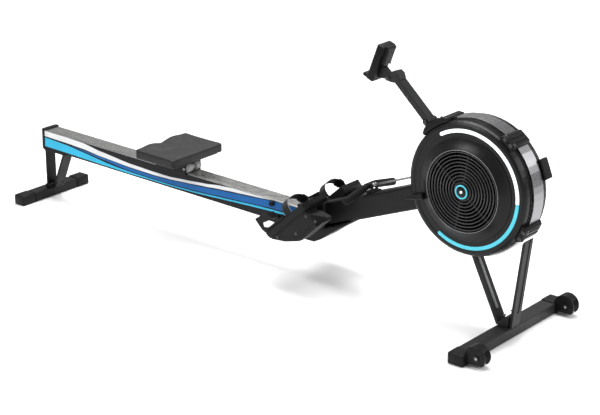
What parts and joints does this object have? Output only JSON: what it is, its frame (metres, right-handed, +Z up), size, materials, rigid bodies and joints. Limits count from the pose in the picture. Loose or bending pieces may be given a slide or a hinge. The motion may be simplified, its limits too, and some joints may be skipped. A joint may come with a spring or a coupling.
{
  "type": "rowing machine",
  "caption": "Air rowing machine: sliding seat on a long monorail, inclined beam, strapped footboards, chain-pulled handle, caged fan drum, tilting display, stands and transport wheels.",
  "frame": {"origin": "on the floor, at the middle of the machine's length and width", "axes": "+X along the rail from the seat towards the fan drum, +Y to the rower's left, +Z up"},
  "size_m": [2.415, 0.644, 0.9506],
  "materials": {
    "frame_black": "satin black powder coat",
    "moulded_black": "fine moulded grain",
    "rail_aluminium": "extruded, clear anodised",
    "band_steel": "brushed band",
    "grille_wire": "dark grey, satin",
    "steel": "machined",
    "rubber": "matte",
    "seat_foam": "soft charcoal cover, faint grain",
    "strap_web": "woven webbing",
    "light_white": "translucent white",
    "light_cyan": "translucent cyan",
    "screen_glass": "dark gloss",
    "fan_grey": "grey, satin"
  },
  "bodies": {
    "frame": {"rear_foot_bar": "frame_black", "rear_foot_cap_left": "moulded_black", "rear_foot_cap_right": "moulded_black", "rear_stand": "frame_black", "slide_rail": "rail_aluminium", "rail_end_cap": "moulded_black", "rail_front_stop": "rubber", "rail_housing": "frame_black", "main_beam": "frame_black", "footboard_left": "moulded_black", "footboard_right": "moulded_black", "foot_strap_left": "strap_web", "foot_strap_right": "strap_web", "casing_near": "moulded_black", "casing_far": "moulded_black", "casing_band": "band_steel", "light_arc_upper": "light_white", "light_arc_lower": "light_cyan", "hub_cap": "light_cyan", "grille_near": "grille_wire", "grille_far": "grille_wire", "axle_bearing_near": "steel", "axle_bearing_far": "steel", "main_axle": "steel", "clamp_arm": "frame_black", "clamp_upper": "frame_black", "clamp_lower": "frame_black", "socket_box": "moulded_black", "handle_holder": "moulded_black", "front_leg_rear": "frame_black", "front_leg_front": "frame_black", "front_base_bracket": "frame_black", "front_foot_bar": "frame_black", "front_foot_cap_left": "moulded_black", "front_foot_cap_right": "moulded_black", "wheel_axle_left": "steel", "wheel_axle_right": "steel"},
    "seat": {"seat_pad": "seat_foam", "seat_carriage": "moulded_black"},
    "roller_front": {"seat_roller_front": "steel"},
    "roller_rear": {"seat_roller_rear": "steel"},
    "fan": {"flywheel": "fan_grey"},
    "sprocket": {"drive_sprocket": "steel"},
    "handle": {"chain": "steel", "chain_swivel": "steel", "handle_bar": "frame_black", "handle_grip_left": "rubber", "handle_grip_right": "rubber"},
    "damper": {"damper_lever": "moulded_black"},
    "arm": {"monitor_arm": "frame_black"},
    "monitor": {"monitor_housing": "moulded_black", "monitor_screen": "screen_glass", "monitor_bracket": "frame_black"},
    "heel_left": {"heel_cup_left": "moulded_black"},
    "heel_right": {"heel_cup_right": "moulded_black"},
    "wheel_left": {"transport_wheel_left": "rubber"},
    "wheel_right": {"transport_wheel_right": "rubber"}
  },
  "joints": [
    {"name": "seat_slide", "type": "slide", "parent": "frame", "child": "seat", "axis": [0.9998, 0, -0.0175], "range_m": [-0.615, 0.39]},
    {"name": "roller_front_spin", "type": "hinge", "parent": "seat", "child": "roller_front", "pos_m": [-0.37071, 0, 0.29717], "axis": [0, 1, 0], "continuous": true},
    {"name": "roller_rear_spin", "type": "hinge", "parent": "seat", "child": "roller_rear", "pos_m": [-0.50669, 0, 0.29955], "axis": [0, 1, 0], "continuous": true},
    {"name": "fan_spin", "type": "hinge", "parent": "frame", "child": "fan", "pos_m": [0.9566, 0, 0.5189], "axis": [0, 1, 0], "continuous": true},
    {"name": "handle_pull", "type": "slide", "parent": "frame", "child": "handle", "axis": [-0.9311, 0, -0.3649], "range_m": [0, 0.13], "stiffness_N_per_m": 30, "springref_m": -0.6},
    {"name": "sprocket_spin", "type": "hinge", "parent": "frame", "child": "sprocket", "pos_m": [0.9566, 0, 0.5189], "axis": [0, 1, 0], "range_deg": [-110, 5]},
    {"name": "damper_turn", "type": "hinge", "parent": "frame", "child": "damper", "pos_m": [0.9566, 0, 0.5189], "axis": [0, 1, 0], "range_deg": [-22, 22]},
    {"name": "arm_pivot", "type": "hinge", "parent": "frame", "child": "arm", "pos_m": [0.75265, 0, 0.70835], "axis": [0, 1, 0], "range_deg": [-12, 14]},
    {"name": "monitor_tilt", "type": "hinge", "parent": "arm", "child": "monitor", "pos_m": [0.5846, 0, 0.832], "axis": [0, 1, 0], "range_deg": [-18, 14]},
    {"name": "heel_left_slide", "type": "slide", "parent": "frame", "child": "heel_left", "axis": [0.7431, 0, 0.6691], "range_m": [-0.045, 0.006]},
    {"name": "heel_right_slide", "type": "slide", "parent": "frame", "child": "heel_right", "axis": [0.7431, 0, 0.6691], "range_m": [-0.045, 0.006]},
    {"name": "wheel_left_spin", "type": "hinge", "parent": "frame", "child": "wheel_left", "pos_m": [1.177, 0.28, 0.04], "axis": [0, 1, 0], "continuous": true},
    {"name": "wheel_right_spin", "type": "hinge", "parent": "frame", "child": "wheel_right", "pos_m": [1.177, -0.28, 0.04], "axis": [0, 1, 0], "continuous": true}
  ],
  "couplings": [
    {"joint": "roller_front_spin", "follows": "seat_slide", "rad_per_m": 58.824},
    {"joint": "roller_rear_spin", "follows": "seat_slide", "rad_per_m": 58.824},
    {"joint": "sprocket_spin", "follows": "handle_pull", "rad_per_m": -14.493}
  ]
}
